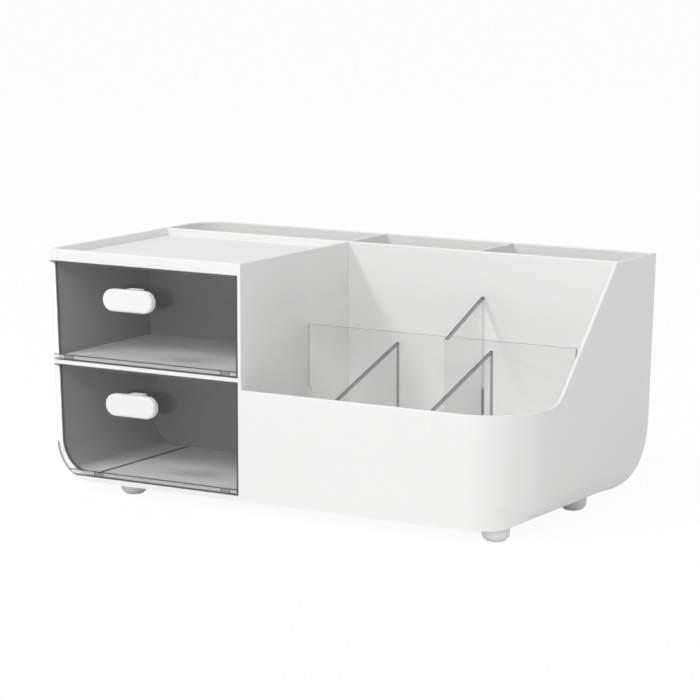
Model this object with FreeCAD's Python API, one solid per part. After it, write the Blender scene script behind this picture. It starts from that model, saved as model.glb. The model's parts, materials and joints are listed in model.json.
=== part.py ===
import FreeCAD, Part
import math
import os
from FreeCAD import Base, Vector

# Desktop storage box: a white moulded body with a two-drawer tower on the left, an open bin on the right
# and a row of tall pockets behind both. Smoky drawers with clear fronts, clear lift-out dividers and four soft
# feet complete it.
# Lengths are millimetres and angles degrees. +Z is up, the drawers open toward -Y and the bin lies at +X.
# The origin is on the table, under the middle of the space that the box takes up with its handles.

# Moulded body
BOX_WIDTH = 344.0             # across the rim
BOX_DEPTH = 182.0             # front face to back face
BODY_HEIGHT = 150.0           # underside to rim
SIDE_DRAFT = 2.0              # lean of the left and right walls
WALL = 2.5                    # outer walls and the wall in front of the pockets
FLOOR = 3.2
SIDE_RADIUS = 26.0            # the left side's bottom and back edges
BACK_RADIUS = 42.0            # the back's bottom edge
FRONT_CORNER_RADIUS = 38.0    # the upright edge at the bin's front
RIM_RADIUS = 0.9              # along the rim and the bin's lip
OVERRUN = 20.0                # how far cutting tools reach past what they cut

# Tower
TOWER_WIDTH = 147.0           # left side to the wall that faces the bin
TOWER_WALL = 2.2
TRAY_DEPTH = 5.0
TRAY_FLOOR = 2.5
SHELF_HEIGHT = 75.4           # underside of the body to underside of the shelf
SHELF = 2.5
SHELF_GAP = 0.15
SHELF_GROOVE = 1.0            # depth of the grooves that carry the shelf

# Bin and pockets
BIN_DEPTH = 130.0             # front face to the wall in front of the pockets
BIN_FRONT_HEIGHT = 70.5
SLOPE_ANGLE = 48.0            # rise of the bin's side wall
CREST_RADIUS = 6.0
CREST_SETBACK = 1.0           # crest's rounding to the wall in front of the pockets
SWEEP_RADIUS = 20.0
POCKET_WALL = 2.0
POCKET_SPLIT_SHARE = 0.5      # place of the wall between the two right pockets, across the bin

# Drawers
PANEL = 2.2                   # thickness of the drawer fronts
PANEL_GAP = 0.4
PANEL_SEAT_GAP = 0.2
PANEL_EDGE_RADIUS = 0.4
DRAWER_WALL = 1.8
DRAWER_SIDE_GAP = 0.8
DRAWER_BACK_GAP = 26.0
DRAWER_HEADROOM = 1.0         # free height over the sides
DRAWER_CORNER_RADIUS = 3.0
RUNNER_HEIGHT = 1.0
RUNNER_WIDTH = 3.0
RUNNER_INSET = 8.0
FLOOR_PAD = 0.8               # the flat of a drawer's floor stands this proud of its rounded side
CLIP_WIDTH = 6.0              # dovetails that hold a drawer's front, at its face
CLIP_FLARE = 0.8
CLIP_GAP = 0.1

# Handles
PILL_WIDTH = 38.0
PILL_HEIGHT = 14.0
PILL_THICKNESS = 4.5
PILL_BEVEL = 1.0
NECK_WIDTH = 10.0
NECK_HEIGHT = 13.6
NECK_LENGTH = 8.0
TONGUE_WIDTH = 4.0
TONGUE_HEIGHT = 8.0
TONGUE_GAP = 0.1
BARB = 0.8
BARB_LENGTH = 2.4
HANDLE_DROP = 20.0            # drawer front's top edge to the handle's middle
HANDLE_SHIFT = 3.0            # the handles sit this far left of the middle

# Dividers
DIVIDER = 2.0
DIVIDER_GAP = 0.3
GROOVE_DEPTH = 1.2
GROOVE_GAP = 0.15
LONG_DIVIDER_SETBACK = 80.0   # front face to the middle of the long divider
LONG_DIVIDER_HEIGHT = 102.0   # tops over the body's underside
LONG_DIVIDER_STEP = 1.5
LONG_DIVIDER_STEP_HEIGHT = 62.0
FRONT_DIVIDER_LOW = 70.0
FRONT_DIVIDER_HIGH = 96.0
REAR_DIVIDER_LOW = 100.0
REAR_DIVIDER_HIGH = 121.0
FRONT_DIVIDER_SHARES = (0.355, 0.71)
REAR_DIVIDER_SHARE = 0.53

# Feet
FOOT_HEIGHT = 8.0
FOOT_RADIUS = 8.5
FOOT_BEVEL = 3.0
FOOT_RECESS = 0.8
FOOT_GAP = 0.2
FOOT_LEFT_INSET = 47.5        # body's bottom edges to the feet's middles
FOOT_RIGHT_INSET = 20.5
FOOT_FRONT_INSET = 17.5
FOOT_REAR_INSET = 62.0

# Places worked out from the sizes above
HANDLE_PROJECTION = NECK_LENGTH + PILL_THICKNESS
FRONT_Y = (HANDLE_PROJECTION - BOX_DEPTH) / 2
BACK_Y = FRONT_Y + BOX_DEPTH
MIDDLE_FRONT_Y = FRONT_Y + BIN_DEPTH
MIDDLE_BACK_Y = MIDDLE_FRONT_Y + WALL
BODY_Z = FOOT_HEIGHT
FLOOR_Z = BODY_Z + FLOOR
RIM_Z = BODY_Z + BODY_HEIGHT
TRAY_Z = RIM_Z - TRAY_DEPTH
CEILING_Z = TRAY_Z - TRAY_FLOOR
SHELF_Z = BODY_Z + SHELF_HEIGHT
SHELF_TOP_Z = SHELF_Z + SHELF
BIN_FRONT_Z = BODY_Z + BIN_FRONT_HEIGHT
TOWER_RIGHT_X = TOWER_WIDTH - BOX_WIDTH / 2
BAY_RIGHT_X = TOWER_RIGHT_X - TOWER_WALL
PANEL_RIGHT_X = BAY_RIGHT_X - PANEL_GAP
PANEL_BACK_Y = FRONT_Y + PANEL
LONG_DIVIDER_Y = FRONT_Y + LONG_DIVIDER_SETBACK


def half_width(z, inset=0):
    """Distance from the middle to a leaning side wall at height z, measured inset deep in the wall."""
    lean = math.radians(SIDE_DRAFT)
    return BOX_WIDTH / 2 - (RIM_Z - z) * math.tan(lean) - inset / math.cos(lean)


BIN_SPAN = half_width(FLOOR_Z, WALL) - TOWER_RIGHT_X
POCKET_SPLIT_X = TOWER_RIGHT_X + BIN_SPAN * POCKET_SPLIT_SHARE
REAR_DIVIDER_X = TOWER_RIGHT_X + BIN_SPAN * REAR_DIVIDER_SHARE
FRONT_DIVIDER_XS = [TOWER_RIGHT_X + BIN_SPAN * share for share in FRONT_DIVIDER_SHARES]


def block(low, high):
    """Box between two opposite corners."""
    size = high - low
    return Part.makeBox(size.x, size.y, size.z, low)


def rounded_outline(points, radii):
    """Closed outline through the points, each corner rounded by its radius."""
    corners = []
    for index, point in enumerate(points):
        to_last = (points[index - 1] - point).normalize()
        to_next = (points[(index + 1) % len(points)] - point).normalize()
        half_angle = to_last.getAngle(to_next) / 2
        reach = radii[index] / math.tan(half_angle)
        inward = (to_last + to_next).normalize()
        crown = point + inward * (radii[index] / math.sin(half_angle) - radii[index])
        corners.append((point + to_last * reach, crown, point + to_next * reach))
    edges = []
    for index, (start, crown, end) in enumerate(corners):
        if radii[index] > 0:
            edges.append(Part.Arc(start, crown, end).toShape())
        following = corners[(index + 1) % len(corners)][0]
        if not end.isEqual(following, Base.Precision.confusion()):
            edges.append(Part.makeLine(end, following))
    return Part.Wire(edges)


def slab(points, radii, sweep):
    """Plate with a rounded outline, swept along a vector."""
    return Part.Face(rounded_outline(points, radii)).extrude(sweep)


def extreme_edge(solid, direction):
    """The edge whose middle lies furthest along a direction."""
    return max(solid.Edges, key=lambda edge: edge.CenterOfMass.dot(direction))


def envelope(inset, bottom_z, top_z, front_y):
    """The body's outer form, drawn in by inset, with its back and left edges rounded."""
    low, high = half_width(bottom_z, inset), half_width(top_z, inset)
    corners = [
        Vector(-low, front_y, bottom_z),
        Vector(low, front_y, bottom_z),
        Vector(high, front_y, top_z),
        Vector(-high, front_y, top_z),
    ]
    solid = slab(corners, [0, 0, 0, 0], Vector(0, BACK_Y - inset - front_y, 0))
    solid = solid.makeFillet(BACK_RADIUS - inset, [extreme_edge(solid, Vector(0, 1, -1))])
    side_edges = [extreme_edge(solid, direction) for direction in (Vector(-1, 0, -1), Vector(-1, 1, 0))]
    return solid.makeFillet(SIDE_RADIUS - inset, side_edges)


def round_front_corner(solid, radius):
    """Round the upright edge at the bin's front."""
    return solid.makeFillet(radius, [extreme_edge(solid, Vector(1, -1, 0))])


def tower_bay(hollow):
    """Space for both drawers and the shelf, open at the front."""
    low = Vector(-BOX_WIDTH, FRONT_Y - OVERRUN, FLOOR_Z)
    return hollow.common(block(low, Vector(BAY_RIGHT_X, MIDDLE_FRONT_Y, CEILING_Z)))


def panel_rebates():
    """Steps in the tower's left wall that the drawer fronts close into."""
    rebates = []
    for low_z, high_z in ((FLOOR_Z, SHELF_Z), (SHELF_TOP_Z, CEILING_Z)):
        low = Vector(-BOX_WIDTH, FRONT_Y - OVERRUN, low_z)
        rebates.append(block(low, Vector(BAY_RIGHT_X, PANEL_BACK_Y + PANEL_SEAT_GAP, high_z)))
    return rebates


def top_tray(hollow):
    """Shallow tray sunk in the tower's top."""
    low = Vector(-BOX_WIDTH, FRONT_Y + WALL, TRAY_Z)
    return hollow.common(block(low, Vector(BAY_RIGHT_X, MIDDLE_FRONT_Y, RIM_Z + OVERRUN)))


def pockets(hollow):
    """The three tall pockets along the back."""
    spans = (
        (-BOX_WIDTH, BAY_RIGHT_X),
        (TOWER_RIGHT_X, POCKET_SPLIT_X - POCKET_WALL / 2),
        (POCKET_SPLIT_X + POCKET_WALL / 2, BOX_WIDTH),
    )
    cuts = []
    for left_x, right_x in spans:
        low = Vector(left_x, MIDDLE_BACK_Y, FLOOR_Z)
        cuts.append(hollow.common(block(low, Vector(right_x, BACK_Y, RIM_Z + OVERRUN))))
    return cuts


def bin_hollow():
    """Space of the bin, behind its low front."""
    inner = envelope(WALL, FLOOR_Z, RIM_Z + OVERRUN, FRONT_Y + WALL)
    inner = round_front_corner(inner, FRONT_CORNER_RADIUS - WALL)
    low = Vector(TOWER_RIGHT_X, FRONT_Y, FLOOR_Z)
    return inner.common(block(low, Vector(BOX_WIDTH, MIDDLE_FRONT_Y, RIM_Z + OVERRUN)))


def bin_mouth():
    """What is cut away over the bin's front and its sweeping side wall."""
    slope = math.radians(SLOPE_ANGLE)
    crest_y = MIDDLE_FRONT_Y - CREST_SETBACK - CREST_RADIUS * math.tan(slope / 2)
    sweep_y = crest_y - (RIM_Z - BIN_FRONT_Z) / math.tan(slope)
    over_y, over_z = FRONT_Y - OVERRUN, RIM_Z + OVERRUN
    corners = [
        Vector(TOWER_RIGHT_X, over_y, BIN_FRONT_Z),
        Vector(TOWER_RIGHT_X, sweep_y, BIN_FRONT_Z),
        Vector(TOWER_RIGHT_X, crest_y, RIM_Z),
        Vector(TOWER_RIGHT_X, MIDDLE_FRONT_Y, RIM_Z),
        Vector(TOWER_RIGHT_X, MIDDLE_FRONT_Y, over_z),
        Vector(TOWER_RIGHT_X, over_y, over_z),
    ]
    radii = [0, SWEEP_RADIUS, CREST_RADIUS, 0, 0, 0]
    return slab(corners, radii, Vector(BOX_WIDTH, 0, 0))


def shelf_groove():
    """Grooves along both sides of the bay, cut as one slot as wide as the shelf's room."""
    left_x = -half_width(SHELF_Z, WALL - SHELF_GROOVE)
    low = Vector(left_x, FRONT_Y - OVERRUN, SHELF_Z)
    return block(low, Vector(BAY_RIGHT_X + SHELF_GROOVE, MIDDLE_FRONT_Y, SHELF_TOP_Z + SHELF_GAP))


def divider_grooves():
    """Grooves in the bin's floor that hold the dividers' feet."""
    half = DIVIDER / 2 + GROOVE_GAP
    low_z = FLOOR_Z - GROOVE_DEPTH
    right_x = half_width(FLOOR_Z, WALL)
    long_low = Vector(TOWER_RIGHT_X, LONG_DIVIDER_Y - half, low_z)
    grooves = [block(long_low, Vector(right_x, LONG_DIVIDER_Y + half, FLOOR_Z))]
    for x in FRONT_DIVIDER_XS:
        low = Vector(x - half, FRONT_Y + WALL, low_z)
        grooves.append(block(low, Vector(x + half, LONG_DIVIDER_Y, FLOOR_Z)))
    rear_low = Vector(REAR_DIVIDER_X - half, LONG_DIVIDER_Y, low_z)
    grooves.append(block(rear_low, Vector(REAR_DIVIDER_X + half, MIDDLE_FRONT_Y, FLOOR_Z)))
    return grooves


def foot_places():
    """Middle of each foot, clear of the rounded edges."""
    left_x = FOOT_LEFT_INSET - half_width(BODY_Z)
    right_x = half_width(BODY_Z) - FOOT_RIGHT_INSET
    front_y = FRONT_Y + FOOT_FRONT_INSET
    rear_y = BACK_Y - FOOT_REAR_INSET
    return {
        "foot_front_left": Vector(left_x, front_y, 0),
        "foot_front_right": Vector(right_x, front_y, 0),
        "foot_rear_left": Vector(left_x, rear_y, 0),
        "foot_rear_right": Vector(right_x, rear_y, 0),
    }


def foot_recesses():
    """Shallow round seats for the feet in the underside."""
    lift = Vector(0, 0, BODY_Z - OVERRUN)
    radius = FOOT_RADIUS + FOOT_GAP
    return [Part.makeCylinder(radius, OVERRUN + FOOT_RECESS, place + lift) for place in foot_places().values()]


def middle_of(edge):
    """Point halfway along an edge."""
    return edge.valueAt((edge.FirstParameter + edge.LastParameter) / 2)


def soften_rims(body, mouth):
    """Round every edge of the rim and of the lip that the bin's mouth leaves."""
    near = RIM_RADIUS / 2
    edges = []
    for edge in body.Edges:
        middle = middle_of(edge)
        on_lip = mouth.distToShape(Part.Vertex(middle))[0] < near and middle.x > TOWER_RIGHT_X + near
        if on_lip or abs(edge.BoundBox.ZMin - RIM_Z) < near:
            edges.append(edge)
    return body.makeFillet(RIM_RADIUS, edges)


def main_body():
    """The one-piece moulding: tower, bin, pockets and tray."""
    outer = round_front_corner(envelope(0, BODY_Z, RIM_Z, FRONT_Y), FRONT_CORNER_RADIUS)
    hollow = envelope(WALL, FLOOR_Z, RIM_Z + OVERRUN, FRONT_Y - OVERRUN)
    mouth = bin_mouth()
    cuts = [tower_bay(hollow), shelf_groove(), top_tray(hollow), bin_hollow(), mouth]
    cuts += panel_rebates() + pockets(hollow) + divider_grooves() + foot_recesses()
    return soften_rims(outer.cut(cuts).removeSplitter(), mouth)


def drawer_shelf():
    """Plate between the drawers, pushed into the grooves from the front."""
    low = Vector(-half_width(SHELF_Z, WALL - SHELF_GROOVE) + SHELF_GAP, FRONT_Y, SHELF_Z)
    return block(low, Vector(BAY_RIGHT_X + SHELF_GROOVE - SHELF_GAP, MIDDLE_FRONT_Y - SHELF_GAP, SHELF_TOP_Z))


def drawer_flat(low_z, left_radius):
    """Left and right ends of the flat of a drawer's floor."""
    left_x = left_radius - half_width(low_z + RUNNER_HEIGHT, WALL + DRAWER_SIDE_GAP)
    return left_x, BAY_RIGHT_X - DRAWER_SIDE_GAP - DRAWER_CORNER_RADIUS


def drawer_clips(low_z, left_radius, gap, foot_z):
    """Dovetails at the ends of the floor's flat, which reach through the drawer's front."""
    left_x, right_x = drawer_flat(low_z, left_radius)
    top_z = low_z + RUNNER_HEIGHT + DRAWER_WALL + FLOOR_PAD
    root = CLIP_WIDTH / 2 - CLIP_FLARE + gap
    face = CLIP_WIDTH / 2 + gap
    clips = []
    for x in (left_x + CLIP_WIDTH, right_x - CLIP_WIDTH):
        corners = [
            Vector(x - root, PANEL_BACK_Y, foot_z),
            Vector(x + root, PANEL_BACK_Y, foot_z),
            Vector(x + face, FRONT_Y, foot_z),
            Vector(x - face, FRONT_Y, foot_z),
        ]
        clips.append(slab(corners, [0] * len(corners), Vector(0, 0, top_z - foot_z)))
    return clips


def drawer_front(low_z, high_z, left_radius):
    """Clear front that follows the tower's outline, with room for its clips and its handle's tongue."""
    face = envelope(0, BODY_Z, RIM_Z, FRONT_Y)
    low = Vector(-BOX_WIDTH, FRONT_Y, low_z + PANEL_GAP)
    panel = face.common(block(low, Vector(PANEL_RIGHT_X, PANEL_BACK_Y, high_z - PANEL_GAP)))
    outline = [edge for edge in panel.Edges if edge.BoundBox.YMax < FRONT_Y + PANEL / 2]
    panel = panel.makeFillet(PANEL_EDGE_RADIUS, outline)
    return panel.cut([handle_slot(handle_place(high_z))] + drawer_clips(low_z, left_radius, CLIP_GAP, low_z))


def drawer_outline(inset, low_z, high_z, left_radius, y):
    """Cross section of a drawer's box, drawn in by inset from the bay's sides."""
    depth = WALL + DRAWER_SIDE_GAP + inset
    right = BAY_RIGHT_X - DRAWER_SIDE_GAP - inset
    corners = [
        Vector(-half_width(low_z, depth), y, low_z),
        Vector(right, y, low_z),
        Vector(right, y, high_z),
        Vector(-half_width(high_z, depth), y, high_z),
    ]
    radii = [left_radius - inset, DRAWER_CORNER_RADIUS - inset, 0, 0]
    return corners, radii


def drawer(low_z, high_z, left_radius):
    """Smoky tub behind a drawer front, open at its top and front, on two runners."""
    length = BIN_DEPTH - PANEL - DRAWER_BACK_GAP
    box_low = low_z + RUNNER_HEIGHT
    corners, radii = drawer_outline(0, box_low, high_z - DRAWER_HEADROOM, left_radius, PANEL_BACK_Y)
    tub = slab(corners, radii, Vector(0, length, 0))
    corners, radii = drawer_outline(DRAWER_WALL, box_low + DRAWER_WALL, high_z, left_radius, PANEL_BACK_Y)
    tub = tub.cut(slab(corners, radii, Vector(0, length - DRAWER_WALL, 0)))
    left_x, right_x = drawer_flat(low_z, left_radius)
    pad_high = Vector(right_x, PANEL_BACK_Y + length, box_low + DRAWER_WALL + FLOOR_PAD)
    additions = [block(Vector(left_x, PANEL_BACK_Y, box_low), pad_high)]
    for x in (left_x + RUNNER_INSET, right_x - RUNNER_INSET):
        low = Vector(x - RUNNER_WIDTH / 2, PANEL_BACK_Y, low_z)
        additions.append(block(low, Vector(x + RUNNER_WIDTH / 2, PANEL_BACK_Y + length, box_low)))
    additions += drawer_clips(low_z, left_radius, 0, box_low)
    return tub.fuse(additions).removeSplitter()


def handle_place(high_z):
    """Middle of a handle on the face of the drawer front under high_z."""
    z = high_z - PANEL_GAP - HANDLE_DROP
    return Vector((PANEL_RIGHT_X - half_width(z)) / 2 - HANDLE_SHIFT, FRONT_Y, z)


def handle_slot(place):
    """Hole in a drawer front for the handle's tongue."""
    half = Vector(TONGUE_WIDTH / 2 + TONGUE_GAP, PANEL, TONGUE_HEIGHT / 2 + TONGUE_GAP)
    return block(place - half, place + half + Vector(0, PANEL, 0))


def handle(high_z):
    """White pill on a neck, with a barbed tongue that snaps behind the drawer front."""
    place = handle_place(high_z)
    half_x, half_z = PILL_WIDTH / 2, PILL_HEIGHT / 2
    front = place - Vector(0, HANDLE_PROJECTION, 0)
    corners = [front + Vector(x * half_x, 0, z * half_z) for x, z in ((-1, -1), (1, -1), (1, 1), (-1, 1))]
    pill = slab(corners, [half_z] * len(corners), Vector(0, PILL_THICKNESS, 0))
    rim = [edge for edge in pill.Edges if edge.BoundBox.YMax < front.y + PILL_THICKNESS / 2]
    pill = pill.makeChamfer(PILL_BEVEL, rim)
    neck_low = place - Vector(NECK_WIDTH / 2, NECK_LENGTH, NECK_HEIGHT / 2)
    neck = block(neck_low, place + Vector(NECK_WIDTH / 2, 0, NECK_HEIGHT / 2))
    tongue_low = place - Vector(TONGUE_WIDTH / 2, 0, TONGUE_HEIGHT / 2)
    tongue = block(tongue_low, place + Vector(TONGUE_WIDTH / 2, PANEL + BARB_LENGTH, TONGUE_HEIGHT / 2))
    return pill.fuse([neck, tongue] + handle_barbs(place)).removeSplitter()


def handle_barbs(place):
    """Sloped catches over and under the tongue, behind the drawer front."""
    barbs = []
    for side in (-1, 1):
        root = place + Vector(-TONGUE_WIDTH / 2, PANEL, side * TONGUE_HEIGHT / 2)
        corners = [root, root + Vector(0, 0, side * BARB), root + Vector(0, BARB_LENGTH, 0)]
        barbs.append(slab(corners, [0, 0, 0], Vector(TONGUE_WIDTH, 0, 0)))
    return barbs


def long_divider():
    """Divider along the bin, with its ends stepped in low down."""
    foot_z = FLOOR_Z - GROOVE_DEPTH
    step_z = BODY_Z + LONG_DIVIDER_STEP_HEIGHT
    top_z = BODY_Z + LONG_DIVIDER_HEIGHT
    y = LONG_DIVIDER_Y - DIVIDER / 2
    left = TOWER_RIGHT_X + DIVIDER_GAP
    right_depth = WALL + DIVIDER_GAP
    corners = [
        Vector(left + LONG_DIVIDER_STEP, y, foot_z),
        Vector(half_width(foot_z, right_depth + LONG_DIVIDER_STEP), y, foot_z),
        Vector(half_width(step_z, right_depth + LONG_DIVIDER_STEP), y, step_z),
        Vector(half_width(step_z, right_depth), y, step_z),
        Vector(half_width(top_z, right_depth), y, top_z),
        Vector(left, y, top_z),
        Vector(left, y, step_z),
        Vector(left + LONG_DIVIDER_STEP, y, step_z),
    ]
    return slab(corners, [0] * len(corners), Vector(0, DIVIDER, 0))


def cross_divider(x, front_y, back_y, low, high):
    """Divider across the bin, with a top edge that rises toward the back."""
    foot_z = FLOOR_Z - GROOVE_DEPTH
    left = x - DIVIDER / 2
    corners = [
        Vector(left, front_y + DIVIDER_GAP, foot_z),
        Vector(left, back_y - DIVIDER_GAP, foot_z),
        Vector(left, back_y - DIVIDER_GAP, BODY_Z + high),
        Vector(left, front_y + DIVIDER_GAP, BODY_Z + low),
    ]
    return slab(corners, [0] * len(corners), Vector(DIVIDER, 0, 0))


def foot():
    """Soft round foot with a bevel round the flat pad that it stands on."""
    top_z = BODY_Z + FOOT_RECESS
    corners = [
        Vector(0, 0, 0),
        Vector(FOOT_RADIUS - FOOT_BEVEL, 0, 0),
        Vector(FOOT_RADIUS, 0, FOOT_BEVEL),
        Vector(FOOT_RADIUS, 0, top_z),
        Vector(0, 0, top_z),
    ]
    profile = Part.Face(rounded_outline(corners, [0] * len(corners)))
    return profile.revolve(Vector(0, 0, 0), Vector(0, 0, 1), 360)


def all_pieces():
    """Every separate piece by name, in its place."""
    lower_radius = SIDE_RADIUS - WALL - DRAWER_SIDE_GAP
    divider_front, divider_back = LONG_DIVIDER_Y - DIVIDER / 2, LONG_DIVIDER_Y + DIVIDER / 2
    pieces = {
        "main_body": main_body(),
        "drawer_shelf": drawer_shelf(),
        "lower_drawer": drawer(FLOOR_Z, SHELF_Z, lower_radius),
        "upper_drawer": drawer(SHELF_TOP_Z, CEILING_Z, DRAWER_CORNER_RADIUS),
        "lower_front": drawer_front(FLOOR_Z, SHELF_Z, lower_radius),
        "upper_front": drawer_front(SHELF_TOP_Z, CEILING_Z, DRAWER_CORNER_RADIUS),
        "lower_handle": handle(SHELF_Z),
        "upper_handle": handle(CEILING_Z),
        "long_divider": long_divider(),
    }
    for name, x in zip(("front_left_divider", "front_right_divider"), FRONT_DIVIDER_XS):
        pieces[name] = cross_divider(x, FRONT_Y + WALL, divider_front, FRONT_DIVIDER_LOW, FRONT_DIVIDER_HIGH)
    pieces["rear_divider"] = cross_divider(
        REAR_DIVIDER_X, divider_back, MIDDLE_FRONT_Y, REAR_DIVIDER_LOW, REAR_DIVIDER_HIGH)
    for name, place in foot_places().items():
        pieces[name] = foot().translated(place)
    return pieces


os.makedirs("parts", exist_ok=True)
for name, shape in all_pieces().items():
    if len(shape.Solids) != 1 or not shape.isValid():
        raise ValueError(f"{name} is not one sound solid")
    shape.Solids[0].exportStep(f"parts/{name}.step")
    box = shape.BoundBox
    print(f"{name}: {box.XLength:.1f} x {box.YLength:.1f} x {box.ZLength:.1f} mm, {shape.Volume / 1000:.1f} cm3")
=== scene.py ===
# %% [markdown]
# A desktop storage box in white moulded plastic. A tower on the left holds two smoky drawers with clear
# fronts, an open bin on the right is split by clear dividers, and tall pockets run along the back. The
# solids arrive at their real size in metres, with +Z up and the drawers opening toward -Y. This lesson
# gives them their finishes, rounds the moulding's right side and the feet, gives the clear plates painted
# dark edges and pale strips, paints light on the tub floors and shade in a groove, and lights the box as a
# product on a white table.

# %% Load the solids
import json
import math

import bmesh
import bpy
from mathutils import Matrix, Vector


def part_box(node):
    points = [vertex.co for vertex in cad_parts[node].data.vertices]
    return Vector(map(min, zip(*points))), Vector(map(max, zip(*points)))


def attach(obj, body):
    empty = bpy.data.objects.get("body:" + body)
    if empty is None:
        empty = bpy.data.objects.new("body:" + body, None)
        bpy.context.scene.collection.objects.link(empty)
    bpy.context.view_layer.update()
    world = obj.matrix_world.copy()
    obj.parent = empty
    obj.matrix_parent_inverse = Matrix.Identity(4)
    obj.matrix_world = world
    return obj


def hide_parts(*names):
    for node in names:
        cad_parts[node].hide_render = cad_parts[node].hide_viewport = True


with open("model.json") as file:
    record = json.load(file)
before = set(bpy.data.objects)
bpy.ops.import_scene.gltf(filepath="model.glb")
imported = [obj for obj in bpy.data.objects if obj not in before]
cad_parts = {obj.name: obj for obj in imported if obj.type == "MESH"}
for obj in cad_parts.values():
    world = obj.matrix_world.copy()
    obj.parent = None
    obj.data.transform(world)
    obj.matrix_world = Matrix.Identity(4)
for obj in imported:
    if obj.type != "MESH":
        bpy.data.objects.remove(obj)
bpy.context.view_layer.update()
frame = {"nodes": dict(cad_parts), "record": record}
MM = 0.001

# %% [markdown]
# Every finish is a node tree, and building one by hand repeats the same few moves: add a node, set its
# values, and join two sockets. A Mix node has sockets for every kind of value, so its colour sockets have
# to be picked out. Small helpers for these moves keep the material cells short enough to read as recipes.

# %% Node helpers
def add_node(tree, kind, **values):
    """A new node with some of its settings or input values filled in."""
    node = tree.nodes.new(kind)
    for name, value in values.items():
        if hasattr(node, name):
            setattr(node, name, value)
        else:
            node.inputs[name.replace("_", " ")].default_value = value
    return node


def join(tree, source, target):
    """Join an output socket to an input socket."""
    tree.links.new(source, target)


def rgba(sockets):
    """The colour sockets among some sockets of a Mix node."""
    return [socket for socket in sockets if socket.type == "RGBA"]


def new_group(name, inputs, outputs):
    """An empty shader node group with float sockets, and a vector socket for the place on the piece."""
    group = bpy.data.node_groups.new(name, "ShaderNodeTree")
    group.interface.new_socket("Place", in_out="INPUT", socket_type="NodeSocketVector")
    for socket, value in inputs.items():
        made = group.interface.new_socket(socket, in_out="INPUT", socket_type="NodeSocketFloat")
        made.default_value = value
    for socket in outputs:
        group.interface.new_socket(socket, in_out="OUTPUT", socket_type="NodeSocketFloat")
    return group, group.nodes.new("NodeGroupInput"), group.nodes.new("NodeGroupOutput")


# %% [markdown]
# White mouldings like this one come out of a spark-eroded tool, so their skin has a fine matte grain well
# under a millimetre. A noise texture on Object coordinates gives the grain, and a second, much slower noise
# lets the gloss drift a little over a hand's width, as it does where a moulding cooled unevenly.

# %% Grain of a moulded skin
def make_moulded_grain():
    """Height of the grain, and a slow drift over the piece."""
    scales = {"Grain Scale": 2500.0, "Drift Scale": 9.0}
    group, enter, leave = new_group("moulded grain", scales, ("Height", "Drift"))
    fine = add_node(group, "ShaderNodeTexNoise", Detail=2.0, Roughness=0.6)
    slow = add_node(group, "ShaderNodeTexNoise", Detail=3.0, Roughness=0.5)
    for texture, scale in ((fine, "Grain Scale"), (slow, "Drift Scale")):
        join(group, enter.outputs["Place"], texture.inputs["Vector"])
        join(group, enter.outputs[scale], texture.inputs["Scale"])
    join(group, fine.outputs["Fac"], leave.inputs["Height"])
    join(group, slow.outputs["Fac"], leave.inputs["Drift"])
    return group


MOULDED_GRAIN = make_moulded_grain()
print("group:", MOULDED_GRAIN.name, "nodes:", len(MOULDED_GRAIN.nodes))

# %% [markdown]
# Clear plastic is never perfectly polished. Moulding leaves faint flow lines and handling leaves a haze,
# which show only as a soft change of gloss. A stretched noise gives the flow and a rounder one the haze.
# On the clear faces their product moves the roughness alone, so that the faces stay clear.

# %% Haze of a clear moulding
FLOW_STRETCH = (1.0, 1.0, 0.15)


def make_clear_haze():
    """Uneven gloss of a clear moulding, from 0 to 1."""
    group, enter, leave = new_group("clear haze", {"Flow Scale": 60.0, "Haze Scale": 14.0}, ("Haze",))
    stretch = add_node(group, "ShaderNodeMapping", Scale=FLOW_STRETCH)
    flow = add_node(group, "ShaderNodeTexNoise", Detail=3.0)
    haze = add_node(group, "ShaderNodeTexNoise", Detail=4.0, Roughness=0.6)
    both = add_node(group, "ShaderNodeMath", operation="MULTIPLY")
    join(group, enter.outputs["Place"], stretch.inputs["Vector"])
    join(group, stretch.outputs["Vector"], flow.inputs["Vector"])
    join(group, enter.outputs["Place"], haze.inputs["Vector"])
    join(group, enter.outputs["Flow Scale"], flow.inputs["Scale"])
    join(group, enter.outputs["Haze Scale"], haze.inputs["Scale"])
    join(group, flow.outputs["Fac"], both.inputs[0])
    join(group, haze.outputs["Fac"], both.inputs[1])
    join(group, both.outputs["Value"], leave.inputs["Haze"])
    return group


CLEAR_HAZE = make_clear_haze()
print("group:", CLEAR_HAZE.name, "nodes:", len(CLEAR_HAZE.nodes))

# %% [markdown]
# All finishes of this box are greys, some a little warm, and most drift between two near tones. A material
# starts empty, with only its output and the Object coordinates, so nothing of Blender's default shader is
# left in it.

# %% Starting a material
def grey(value, warmth=0.0):
    """A near grey colour, a little warm where warmth is above 0."""
    return (value, value, value * (1.0 - warmth), 1.0)


def start_material(name):
    """A material with nothing in it but its output and the place on the piece."""
    material = bpy.data.materials.new(name)
    material.use_nodes = True
    tree = material.node_tree
    tree.nodes.clear()
    output = tree.nodes.new("ShaderNodeOutputMaterial")
    place = tree.nodes.new("ShaderNodeTexCoord").outputs["Object"]
    return material, tree, output, place


def mix_colours(tree, colours, share):
    """A colour between two others, by a share from 0 to 1."""
    mix = add_node(tree, "ShaderNodeMix", data_type="RGBA")
    for socket, value in zip(rgba(mix.inputs), colours):
        socket.default_value = value
    join(tree, share, mix.inputs["Factor"])
    return rgba(mix.outputs)[0]


# %% [markdown]
# The body, shelf and handles are one white matte plastic, and the drawer tubs a smoky one. The slow drift
# mixes the two tones and moves the roughness, and the grain goes into a Bump node. The smoke gets painted
# light: it turns lighter where a face looks upward, for the light from above that falls on the tub floors.

# %% Matte skins
# Painted light: how far up a face must look before the tub smoke is painted lighter.
PAINTED_LIGHT_FROM = 0.85


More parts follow.
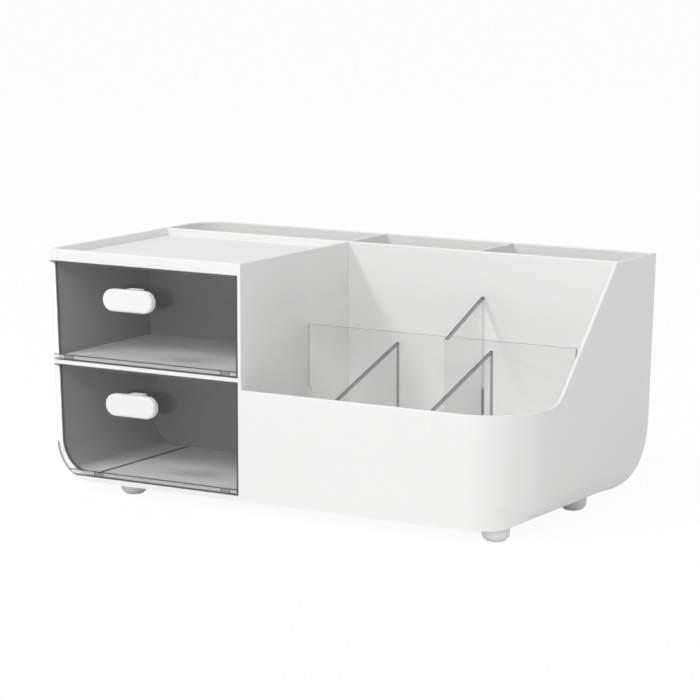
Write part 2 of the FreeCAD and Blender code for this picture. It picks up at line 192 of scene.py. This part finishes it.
def paint_light_upward(tree, tone, lighter):
    """A colour with painted light, lighter where the skin looks upward."""
    facing = tree.nodes.new("ShaderNodeSeparateXYZ")
    join(tree, tree.nodes.new("ShaderNodeTexCoord").outputs["Normal"], facing.inputs["Vector"])
    share = add_node(tree, "ShaderNodeMapRange", From_Min=PAINTED_LIGHT_FROM, From_Max=1.0)
    join(tree, facing.outputs["Z"], share.inputs["Value"])
    mix = add_node(tree, "ShaderNodeMix", data_type="RGBA")
    join(tree, share.outputs["Result"], mix.inputs["Factor"])
    join(tree, tone, rgba(mix.inputs)[0])
    rgba(mix.inputs)[1].default_value = lighter
    return rgba(mix.outputs)[0]


def matte_skin(name, colours, roughness, grain_scale, grain_height, upward=None):
    """An opaque moulded skin that drifts between two colours and two roughnesses, with painted light on
    upward faces where given.
    """
    material, tree, output, place = start_material(name)
    grain = add_node(tree, "ShaderNodeGroup", node_tree=MOULDED_GRAIN)
    grain.inputs["Grain Scale"].default_value = grain_scale
    join(tree, place, grain.inputs["Place"])
    tone = mix_colours(tree, colours, grain.outputs["Drift"])
    if upward:
        tone = paint_light_upward(tree, tone, upward)
    gloss = add_node(tree, "ShaderNodeMapRange", To_Min=roughness[0], To_Max=roughness[1])
    join(tree, grain.outputs["Drift"], gloss.inputs["Value"])
    bump = add_node(tree, "ShaderNodeBump", Strength=1.0, Distance=grain_height)
    join(tree, grain.outputs["Height"], bump.inputs["Height"])
    skin = add_node(tree, "ShaderNodeBsdfPrincipled", IOR=1.5)
    join(tree, tone, skin.inputs["Base Color"])
    join(tree, gloss.outputs["Result"], skin.inputs["Roughness"])
    join(tree, bump.outputs["Normal"], skin.inputs["Normal"])
    join(tree, skin.outputs["BSDF"], output.inputs["Surface"])
    return material


WHITE_PLASTIC = matte_skin("white plastic", colours=(grey(0.86, 0.004), grey(0.84, 0.008)),
                           roughness=(0.46, 0.56), grain_scale=2500.0, grain_height=0.006 * MM)
SOFT_RUBBER = matte_skin("soft rubber", colours=(grey(0.80, 0.01), grey(0.77, 0.015)),
                         roughness=(0.55, 0.65), grain_scale=1500.0, grain_height=0.01 * MM)
# The smoke plastic's upward colour is painted light on the tub floors.
SMOKE_PLASTIC = matte_skin("smoke plastic", colours=(grey(0.26), grey(0.23)), upward=grey(0.56),
                           roughness=(0.34, 0.44), grain_scale=2500.0, grain_height=0.003 * MM)
# Painted shade for the inside of the groove in the lower tub.
PAINTED_GROOVE_SHADE = matte_skin("painted groove shade", colours=(grey(0.05), grey(0.07)),
                        roughness=(0.4, 0.5), grain_scale=2500.0, grain_height=0.003 * MM)
print("skins:", [skin.name for skin in (WHITE_PLASTIC, SOFT_RUBBER, SMOKE_PLASTIC, PAINTED_GROOVE_SHADE)])

# %% [markdown]
# The fronts and dividers are thin flat plates. They hardly bend what is behind them, so their shader lets
# light pass with full transmission and almost no refraction, and a clear coat on top gives back the gloss.
# Shadow rays meet a tinted Transparent shader instead, or each plate would throw a dark shadow like metal.
# Light crosses two faces of a plate, so each face has the square root of the plate's tint.

# %% Clear plastic
def clear_plastic(name, plate_tint, roughness):
    """A clear plate's faces, tinted alike for what is seen through them and for their shadow."""
    material, tree, output, place = start_material(name)
    tint = grey(math.sqrt(plate_tint))
    haze = add_node(tree, "ShaderNodeGroup", node_tree=CLEAR_HAZE)
    join(tree, place, haze.inputs["Place"])
    gloss = add_node(tree, "ShaderNodeMapRange", To_Min=roughness[0], To_Max=roughness[1])
    join(tree, haze.outputs["Haze"], gloss.inputs["Value"])
    plastic = add_node(tree, "ShaderNodeBsdfPrincipled", Base_Color=tint, IOR=1.02, Transmission_Weight=1.0,
                       Coat_Weight=0.5, Coat_Roughness=0.03, Coat_IOR=1.49)
    join(tree, gloss.outputs["Result"], plastic.inputs["Roughness"])
    shadow = add_node(tree, "ShaderNodeBsdfTransparent", Color=tint)
    rays = tree.nodes.new("ShaderNodeLightPath")
    choice = tree.nodes.new("ShaderNodeMixShader")
    join(tree, rays.outputs["Is Shadow Ray"], choice.inputs["Fac"])
    join(tree, plastic.outputs["BSDF"], choice.inputs[1])
    join(tree, shadow.outputs["BSDF"], choice.inputs[2])
    join(tree, choice.outputs["Shader"], output.inputs["Surface"])
    return material


CLEAR_PLASTIC = clear_plastic("clear plastic", plate_tint=0.93, roughness=(0.0, 0.02))
DIVIDER_PLASTIC = clear_plastic("clear divider plastic", plate_tint=0.87, roughness=(0.0, 0.02))
print("clear:", CLEAR_PLASTIC.name, "and", DIVIDER_PLASTIC.name)

# %% [markdown]
# The cut edge of a clear plate looks dark, because light that enters there runs along inside the plate and
# leaves somewhere else. Copying that with real refraction takes dozens of bounces, so the edges get painted
# shade instead, a grey that lets a little of what is behind show through. A painted pale grey serves where
# only white is near.

# %% Edges of clear plates
def painted_plate_edge(name, colours, alpha):
    """A painted edge shade, grey and partly see-through."""
    material, tree, output, place = start_material(name)
    haze = add_node(tree, "ShaderNodeGroup", node_tree=CLEAR_HAZE)
    join(tree, place, haze.inputs["Place"])
    skin = add_node(tree, "ShaderNodeBsdfPrincipled", Roughness=0.25, IOR=1.49, Alpha=alpha)
    join(tree, mix_colours(tree, colours, haze.outputs["Haze"]), skin.inputs["Base Color"])
    join(tree, skin.outputs["BSDF"], output.inputs["Surface"])
    return material


# Painted shade for the edges of clear plates, and a painted pale grey for edges with only white near.
PAINTED_EDGE_SHADE = painted_plate_edge("painted dark plate edge", colours=(grey(0.1), grey(0.14)), alpha=0.7)
PAINTED_PALE_EDGE = painted_plate_edge("painted pale plate edge", colours=(grey(0.72), grey(0.78)), alpha=0.6)
print("edges:", PAINTED_EDGE_SHADE.name, "and", PAINTED_PALE_EDGE.name)

# %% [markdown]
# The record names a material slot for every solid. One table of finishes by slot dresses them all, and the
# pieces that are reworked below take their finishes from the same materials.

# %% Dress the solids
FINISHES = {
    "white_plastic": WHITE_PLASTIC,
    "smoke_plastic": SMOKE_PLASTIC,
    "clear_plastic": CLEAR_PLASTIC,
    "soft_rubber": SOFT_RUBBER,
}
SUBPARTS = frame["record"]["subparts"]
for subpart in SUBPARTS:
    materials = frame["nodes"][subpart["node"]].data.materials
    materials.clear()
    materials.append(FINISHES[subpart["material_slot"]])
print("dressed:", len(SUBPARTS), "nodes")

# %% [markdown]
# A reworked piece starts from a copy of its solid's mesh. The copy is a heap of loose triangles with stored
# normals, so its doubles are merged and the normals dropped before any operator runs. When the shape is
# done, one function makes it an object that stands for the solid and rides on the solid's body.

# %% Copies of the solids
MERGE_DISTANCE = 0.01 * MM


def copy_of(node, finishes):
    """A node's mesh with new finishes, and the same shape ready to edit."""
    mesh = frame["nodes"][node].data.copy()
    mesh.attributes.remove(mesh.attributes["custom_normal"])
    mesh.materials.clear()
    for finish in finishes:
        mesh.materials.append(finish)
    shape = bmesh.new()
    shape.from_mesh(mesh)
    bmesh.ops.remove_doubles(shape, verts=shape.verts, dist=MERGE_DISTANCE)
    return mesh, shape


def stand_in(name, mesh, shape, node, body):
    """The finished shape as an object in place of its node."""
    shape.to_mesh(mesh)
    shape.free()
    piece = bpy.data.objects.new(name, mesh)
    bpy.context.scene.collection.objects.link(piece)
    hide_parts(node)
    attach(piece, body)
    return piece


# %% [markdown]
# Two moves come back in most pieces. A plane cuts some of the faces, which gives a new edge exactly where a
# finish or a bend has to start. Shading is then smooth but broken at sharp edges, and on large pieces a
# modifier weighs the normals by the size of the faces.

# %% Cutting and shading
CUT_SLACK = 0.001 * MM
SHARP_ANGLE = math.radians(30.0)


def cut(shape, faces, place, normal):
    """Cut some of the faces along a plane."""
    around = {part for face in faces for part in (*face.verts, *face.edges)}
    bmesh.ops.bisect_plane(shape, geom=[*around, *faces], dist=CUT_SLACK, plane_co=place, plane_no=normal)


def soften_by_angle(shape, angle):
    """Smooth shading, broken at edges that turn by more than an angle."""
    for face in shape.faces:
        face.smooth = True
    for edge in shape.edges:
        edge.smooth = edge.calc_face_angle(math.pi) < angle


def keep_flats_flat(piece):
    """Let the large faces lead the shading, so that flats beside a rounding stay flat."""
    piece.modifiers.new("flat faces stay flat", "WEIGHTED_NORMAL").keep_sharp = True


# %% [markdown]
# The bottom edge of the right side is rounded too, which the solid leaves sharp. A bevel of that size would
# cut through the thin wall, so wall and floor are bent together, by their depth under the outer skin. At
# the back's bottom edge that skin turns upward, and two functions say how deep a point lies and how far the
# skin has turned.

# %% Skin of the moulding
SIDE_LEAN = math.radians(2.0)
BACK_ROUND = 42.0 * MM
QUARTER = math.radians(90.0)
BODY_LOW, BODY_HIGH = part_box("main_body")
TURN_AXIS = Vector((0.0, BODY_HIGH.y - BACK_ROUND, BODY_LOW.z + BACK_ROUND))


def side_wall(z):
    """Where the leaning right side is at height z."""
    return BODY_HIGH.x - (BODY_HIGH.z - z) * math.tan(SIDE_LEAN)


def outward(turn):
    """The direction out of the skin after some turn from straight down to straight back."""
    return Vector((0.0, math.sin(turn), -math.cos(turn)))


def under_skin(point):
    """How deep a point lies under the bottom or the back, and the turn there."""
    arm = point - TURN_AXIS
    turn = math.atan2(max(arm.y, 0.0), max(-arm.z, 0.0))
    if arm.y > 0 and arm.z < 0:
        return BACK_ROUND - math.hypot(arm.y, arm.z), turn
    return BACK_ROUND - (arm.y if arm.z >= 0 else -arm.z), turn


print("side at the bottom:", round(side_wall(BODY_LOW.z), 4))
print("turn axis:", [round(value, 4) for value in TURN_AXIS])

# %% [markdown]
# Planes first cut the mesh into narrow strips near the edge, and into rings of straight pieces where the
# skin turns. Then each point there moves from its place in a square to the matching place in a quarter
# circle, which gets smaller up the turn until it's gone.

# %% Rounded side of the moulding
SIDE_ROUND = 16.0 * MM
SIDE_SLACK = 0.01 * MM
ROUND_STEPS = 8
TURN_STEPS = 9
TURN_STEP = QUARTER / TURN_STEPS
TURN_SLACK = 0.001
TURN_END = math.radians(70.0)
RIGHT = Vector((1.0, 0.0, 0.0))


def near_side(shape, low_turn, high_turn):
    """Faces near the right side whose middle lies between two turns."""
    edge = side_wall(BODY_LOW.z) - SIDE_ROUND + SIDE_SLACK
    return [face for face in shape.faces
            if max(vert.co.x for vert in face.verts) > edge
            and low_turn <= under_skin(face.calc_center_median())[1] <= high_turn]


def between(shape, low_turn, high_turn):
    """Faces near the right side whose middle lies inside two turns."""
    return near_side(shape, low_turn + TURN_SLACK, high_turn - TURN_SLACK)


def cut_low_side(shape):
    """Cut strips along the right side's bottom edge, and rings where it turns upward."""
    shares = [math.tan(QUARTER / 2 * step / ROUND_STEPS) for step in range(ROUND_STEPS)]
    reaches = [SIDE_ROUND * (1.0 - share) for share in shares]
    for reach in reaches:
        cut(shape, shape.faces[:], RIGHT * (side_wall(BODY_LOW.z) - reach), RIGHT)
    for turn in (0.0, QUARTER):
        cut(shape, near_side(shape, 0.0, QUARTER), TURN_AXIS, outward(turn + QUARTER))
    for step in range(1, TURN_STEPS):
        cut(shape, between(shape, 0.0, QUARTER), TURN_AXIS, outward(step * TURN_STEP + QUARTER))
    for reach in reaches:
        cut(shape, near_side(shape, 0.0, 0.0), Vector((0.0, 0.0, BODY_LOW.z + reach)), outward(0.0))
        for step in range(TURN_STEPS):
            way = outward((step + 0.5) * TURN_STEP)
            ring = TURN_AXIS + way * (BACK_ROUND - reach) * math.cos(TURN_STEP / 2)
            cut(shape, between(shape, step * TURN_STEP, (step + 1) * TURN_STEP), ring, way)


def round_low_side(shape):
    """Bend what lies near the right side's bottom edge into a quarter circle."""
    cut_low_side(shape)
    for vert in shape.verts:
        depth, turn = under_skin(vert.co)
        radius = SIDE_ROUND * max(1.0 - turn / TURN_END, 0.0) ** 2
        across = radius - (side_wall(vert.co.z) - vert.co.x)
        down = radius - depth
        if across > 0 and down > 0:
            pull = 1.0 - max(across, down) / math.hypot(across, down)
            vert.co.x -= across * pull
            vert.co -= outward(turn) * down * pull


mesh, shape = copy_of("main_body", [WHITE_PLASTIC])
round_low_side(shape)
soften_by_angle(shape, SHARP_ANGLE)
moulding = stand_in("main_body_moulding", mesh, shape, "main_body", "body")
keep_flats_flat(moulding)
print(moulding.name, "faces:", len(mesh.polygons))

# %% [markdown]
# A clear plate has a finish on its broad faces and painted dark edge shade round its edge. Faces that don't
# look along the plate's thin direction belong to the edge. The front ends of the cross dividers stay clear,
# because nothing dark is behind them to see. The plates come as triangles, so their flat faces are joined
# up first.

# %% Clear plates
ACROSS, ALONG = 0, 1
# Finishes of a plate: clear, painted dark edge shade, and painted pale light.
CLEAR, PAINTED_DARK, PAINTED_PALE = 0, 1, 2
STRAIGHT = 0.999
NEARLY = 0.9
PLATE_FLATNESS = math.radians(1.0)


def clear_plate(node, finish):
    """A copy of a plate with its flat faces joined up."""
    mesh, shape = copy_of(node, [finish, PAINTED_EDGE_SHADE, PAINTED_PALE_EDGE])
    bmesh.ops.dissolve_limit(shape, angle_limit=PLATE_FLATNESS, verts=shape.verts, edges=shape.edges)
    return mesh, shape


def paint_dark_edges(shape, thin_axis):
    """Give edge faces the painted dark edge shade."""
    for face in shape.faces:
        face.smooth = False
        clear_end = thin_axis == ACROSS and face.normal.y < -NEARLY
        face.material_index = CLEAR if clear_end or abs(face.normal[thin_axis]) > STRAIGHT else PAINTED_DARK


# %% [markdown]
# The sloping tops of the cross dividers look polished round, which bends the light in a band under them, so
# a plane parts that band from the broad faces and the band gets painted shade. Two ends stand against a
# white wall, and their upper halves get painted light, a pale grey. The long divider's foot follows the
# rounded side, so it is bent by the same function.

# %% Dividers
# Width of the band of painted shade under a sloping top.
PAINTED_SLOPE_BAND = 1.3 * MM
SLOPING = 0.3
UP = Vector((0.0, 0.0, 1.0))
DIVIDERS = {
    "long_divider": ALONG,
    "front_left_divider": ACROSS,
    "front_right_divider": ACROSS,
    "rear_divider": ACROSS,
}
WALL_ENDS = {"long_divider": Vector((-1.0, 0.0, 0.0)), "rear_divider": Vector((0.0, 1.0, 0.0))}


def paint_slope_shade(shape):
    """Give the broad faces a band of painted shade along the sloping top."""
    slope = [face for face in shape.faces if face.normal.y < -SLOPING and face.normal.z > SLOPING][0]
    place, way = slope.verts[0].co - slope.normal * PAINTED_SLOPE_BAND, slope.normal.copy()
    cut(shape, [face for face in shape.faces if abs(face.normal.x) > STRAIGHT], place, way)
    for face in shape.faces:
        if (face.calc_center_median() - place).dot(way) > 0:
            face.material_index = PAINTED_DARK


def paint_pale_wall_end(shape, way, height):
    """Paint the end that looks one way a pale grey, as painted light, above a height."""
    cut(shape, [face for face in shape.faces if face.normal.dot(way) > NEARLY], UP * height, UP)
    for face in shape.faces:
        if face.normal.dot(way) > NEARLY and face.calc_center_median().z > height:
            face.material_index = PAINTED_PALE


for node, thin_axis in DIVIDERS.items():
    mesh, shape = clear_plate(node, DIVIDER_PLASTIC)
    paint_dark_edges(shape, thin_axis)
    if thin_axis == ACROSS:
        paint_slope_shade(shape)
    if node in WALL_ENDS:
        paint_pale_wall_end(shape, WALL_ENDS[node], sum(corner.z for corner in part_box(node)) / 2)
    if node == "long_divider":
        round_low_side(shape)
    plate = stand_in(node + "_plate", mesh, shape, node, node)
    print(plate.name, "faces:", len(mesh.polygons))

# %% [markdown]
# A drawer front shows a dark line just inside its outline, where its rounded edge bends the light, so that
# line is painted shade on a narrow band of faces made by inset. The line is missing along the straight left
# edge, which lies over the white wall. At the foot, where the tub's floor meets the front, the front gets a
# painted pale strip of light under a second painted dark line, so two planes cut that strip.

# %% Drawer fronts
# Widths of the painted dark outline, and of the painted pale strip and dark line at the foot.
PAINTED_OUTLINE = 0.5 * MM
LEFT_STRIP = 4.0 * MM
LEFT_CURVE = 24.0 * MM
PAINTED_FOOT_STRIP = 3.0 * MM
PAINTED_FOOT_LINE = 0.8 * MM


def looking_forward(shape):
    """Faces that look straight at the front."""
    return [face for face in shape.faces if face.normal.y < -STRAIGHT]


def paint_front_lines(shape, low_z):
    """Painted dark outline, clear left edge, and painted pale foot of a drawer front whose lowest point is
    at low_z.
    """
    band = bmesh.ops.inset_region(shape, faces=looking_forward(shape), thickness=PAINTED_OUTLINE, use_boundary=True,
                                  use_even_offset=True)
    for face in band["faces"]:
        face.material_index = PAINTED_DARK
    strip_top, line_top = low_z + PAINTED_FOOT_STRIP, low_z + PAINTED_FOOT_STRIP + PAINTED_FOOT_LINE
    for height in (strip_top, line_top):
        cut(shape, looking_forward(shape), UP * height, UP)
    for face in shape.faces:
        place = face.calc_center_median()
        if face.normal.y < -STRAIGHT and face.material_index == CLEAR and place.z < line_top:
            face.material_index = PAINTED_PALE if place.z < strip_top else PAINTED_DARK
        if place.x < LEFT_STRIP - side_wall(place.z) and place.z > BODY_LOW.z + LEFT_CURVE:
            face.material_index = CLEAR


for side in ("lower", "upper"):
    node = side + "_front"
    mesh, shape = clear_plate(node, CLEAR_PLASTIC)
    paint_dark_edges(shape, ALONG)
    paint_front_lines(shape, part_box(node)[0].z)
    plate = stand_in(node + "_plate", mesh, shape, node, side + "_drawer")
    print(plate.name, "faces:", len(mesh.polygons))

# %% [markdown]
# A fine groove runs along the floor of the lower tub, beside its rounded side. Two planes cut a strip out
# of the floor's flat, and the strip is extruded downward. Extruding leaves the old faces as a lid, which is
# deleted. The groove's own faces get painted shade, a near black smoke, as a groove that narrow gathers
# hardly any light.

# %% Groove in the lower tub
GROOVE_INSET = 5.0 * MM
GROOVE_WIDTH = 3.0 * MM
GROOVE_DEPTH = 0.5 * MM
FLAT_HEIGHT = 3.6 * MM
FLAT_SLACK = 0.3 * MM
LEVEL = 0.99
# The groove's faces take the painted shade.
GROOVE_SHADE_SLOT = 1


def floor_flat(shape, flat_z):
    """Faces of the floor's flat, which lies at height flat_z."""
    return [face for face in shape.faces
            if face.normal.z > LEVEL and abs(face.calc_center_median().z - flat_z) < FLAT_SLACK]


def cut_groove(shape, flat_z):
    """A groove beside the left edge of the floor's flat, with painted shade on its faces."""
    left = min(vert.co.x for face in floor_flat(shape, flat_z) for vert in face.verts) + GROOVE_INSET
    right = left + GROOVE_WIDTH
    for x in (left, right):
        cut(shape, floor_flat(shape, flat_z), RIGHT * x, RIGHT)
    strip = [face for face in floor_flat(shape, flat_z) if left < face.calc_center_median().x < right]
    before = set(shape.faces)
    made = bmesh.ops.extrude_face_region(shape, geom=strip)["geom"]
    sunk = [part for part in made if isinstance(part, bmesh.types.BMVert)]
    bmesh.ops.translate(shape, verts=sunk, vec=UP * -GROOVE_DEPTH)
    for face in set(shape.faces) - before:
        face.material_index = GROOVE_SHADE_SLOT
    bmesh.ops.delete(shape, geom=[face for face in strip if face.is_valid], context="FACES")


mesh, shape = copy_of("lower_drawer", [SMOKE_PLASTIC, PAINTED_GROOVE_SHADE])
cut_groove(shape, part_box("lower_drawer")[0].z + FLAT_HEIGHT)
soften_by_angle(shape, SHARP_ANGLE)
tub = stand_in("lower_drawer_tub", mesh, shape, "lower_drawer", "lower_drawer")
keep_flats_flat(tub)
print(tub.name, "faces:", len(mesh.polygons))

# %% [markdown]
# The feet are soft domes. Each solid has a straight bevel round its pad, and a second bevel on both of that
# bevel's rings rounds it off without moving the pad or the skirt.

# %% Domed feet
FOOT_ROUND = 1.9 * MM
FOOT_STEPS = 4
FOOT_RINGS = 5.0 * MM
RING_ANGLE = math.radians(20.0)
FOOT_SHARP_ANGLE = math.radians(40.0)
FOOT_FLATNESS = math.radians(0.5)


def foot_rings(shape):
    """Edges of the two rings round a foot's pad."""
    return [edge for edge in shape.edges
            if edge.calc_face_angle(0.0) > RING_ANGLE
            and max(vert.co.z for vert in edge.verts) < FOOT_RINGS]


for node in [subpart["node"] for subpart in SUBPARTS if subpart["material_slot"] == "soft_rubber"]:
    mesh, shape = copy_of(node, [SOFT_RUBBER])
    bmesh.ops.dissolve_limit(shape, angle_limit=FOOT_FLATNESS, verts=shape.verts, edges=shape.edges)
    bmesh.ops.bevel(shape, geom=foot_rings(shape), offset=FOOT_ROUND, offset_type="OFFSET", affect="EDGES",
                    segments=FOOT_STEPS, profile=0.5, material=-1, clamp_overlap=True)
    soften_by_angle(shape, FOOT_SHARP_ANGLE)
    dome = stand_in(node + "_dome", mesh, shape, node, "body")
    print(dome.name, "faces:", len(mesh.polygons))

# %% [markdown]
# The box stands on a wide white table. The floor is lit like anything else, so it keeps the soft shadow,
# but the camera sees it mixed with a plain white, which hides its far edge against the background. The
# gloss and the clear plates show it in the same way.

# %% Table
def seen_directly(tree):
    """1 for rays that show the picture, also by way of gloss or clear plastic, and 0 for rays of light."""
    rays = tree.nodes.new("ShaderNodeLightPath")
    mirrored = add_node(tree, "ShaderNodeMath", operation="ADD", use_clamp=True)
    through = add_node(tree, "ShaderNodeMath", operation="ADD", use_clamp=True)
    join(tree, rays.outputs["Is Camera Ray"], mirrored.inputs[0])
    join(tree, rays.outputs["Is Glossy Ray"], mirrored.inputs[1])
    join(tree, mirrored.outputs["Value"], through.inputs[0])
    join(tree, rays.outputs["Is Transmission Ray"], through.inputs[1])
    return through.outputs["Value"]


def white_table(whiteness):
    """A lit white that the camera sees mixed with plain white."""
    material, tree, output, _ = start_material("white table")
    lit = add_node(tree, "ShaderNodeBsdfDiffuse", Color=grey(0.95))
    plain = add_node(tree, "ShaderNodeEmission", Color=grey(1.0), Strength=1.0)
    share = add_node(tree, "ShaderNodeMath", operation="MULTIPLY")
    share.inputs[1].default_value = whiteness
    blend = tree.nodes.new("ShaderNodeMixShader")
    join(tree, seen_directly(tree), share.inputs[0])
    join(tree, share.outputs["Value"], blend.inputs["Fac"])
    join(tree, lit.outputs["BSDF"], blend.inputs[1])
    join(tree, plain.outputs["Emission"], blend.inputs[2])
    join(tree, blend.outputs["Shader"], output.inputs["Surface"])
    return material


def make_floor(width, whiteness):
    """A wide plane at the height of the feet, nearly white to the camera."""
    mesh = bpy.data.meshes.new("table top")
    shape = bmesh.new()
    bmesh.ops.create_grid(shape, x_segments=1, y_segments=1, size=width / 2)
    shape.to_mesh(mesh)
    shape.free()
    mesh.materials.append(white_table(whiteness))
    floor = bpy.data.objects.new("table_top", mesh)
    bpy.context.scene.collection.objects.link(floor)
    return floor


print("floor:", make_floor(width=40.0, whiteness=0.95).name)

# %% [markdown]
# A white studio lights the box from all round, and two soft lamps stand high in front of it. The smaller
# one, on the left, throws the tower's shadow on the wall behind the bin. The wider one, on the right, keeps
# the rounded front corner nearly as light as the front, while the right side stays a clear step greyer.

# %% Studio light
LAMP_TARGET = (0.0, 0.0, 0.08)


def make_world(strength):
    """A grey studio to light by, which looks plain white in the picture and in reflections."""
    world = bpy.data.worlds.new("white studio")
    world.use_nodes = True
    tree = world.node_tree
    tree.nodes.clear()
    output = tree.nodes.new("ShaderNodeOutputWorld")
    lighting = add_node(tree, "ShaderNodeBackground", Color=grey(1.0), Strength=strength)
    seen = add_node(tree, "ShaderNodeBackground", Color=grey(1.0), Strength=1.0)
    choice = tree.nodes.new("ShaderNodeMixShader")
    join(tree, seen_directly(tree), choice.inputs["Fac"])
    join(tree, lighting.outputs["Background"], choice.inputs[1])
    join(tree, seen.outputs["Background"], choice.inputs[2])
    join(tree, choice.outputs["Shader"], output.inputs["Surface"])
    bpy.context.scene.world = world


def make_lamp(name, place, size, power):
    """A square soft lamp that faces the box."""
    lamp = bpy.data.lights.new(name, "AREA")
    lamp.shape = "SQUARE"
    lamp.size = size
    lamp.energy = power
    stand = bpy.data.objects.new(name, lamp)
    stand.location = place
    stand.rotation_mode = "QUATERNION"
    stand.rotation_quaternion = (Vector(LAMP_TARGET) - Vector(place)).to_track_quat("-Z", "Y")
    bpy.context.scene.collection.objects.link(stand)
    print(name, "at", place, "with", power, "W")


make_world(strength=0.57)
make_lamp("front left lamp", place=(-1.07, -1.53, 1.89), size=0.5, power=20.6)
make_lamp("front right lamp", place=(0.9, -1.93, 1.57), size=1.2, power=14.5)

# %% [markdown]
# The camera stands to the right of the box, a little above it and well back, so lines hardly run together.
# Its angles, distance and lens were found by matching the corners of the box with the picture.

# %% Camera
CAMERA_AZIMUTH = math.radians(31.143)
CAMERA_ELEVATION = math.radians(9.281)
CAMERA_DISTANCE = 1.8887
CAMERA_TARGET = Vector((0.00375, -0.00093, 0.0948))
CAMERA_LENS = 151.7


def make_camera():
    """The picture's own view of the box."""
    back = Vector((
        math.sin(CAMERA_AZIMUTH) * math.cos(CAMERA_ELEVATION),
        -math.cos(CAMERA_AZIMUTH) * math.cos(CAMERA_ELEVATION),
        math.sin(CAMERA_ELEVATION),
    ))
    camera = bpy.data.objects.new("camera", bpy.data.cameras.new("camera"))
    camera.data.lens = CAMERA_LENS
    camera.location = CAMERA_TARGET + back * CAMERA_DISTANCE
    camera.rotation_mode = "QUATERNION"
    camera.rotation_quaternion = (-back).to_track_quat("-Z", "Y")
    bpy.context.scene.collection.objects.link(camera)
    bpy.context.scene.camera = camera
    return camera


print("camera at", [round(value, 3) for value in make_camera().location])
bpy.context.scene.view_settings.view_transform = "Standard"
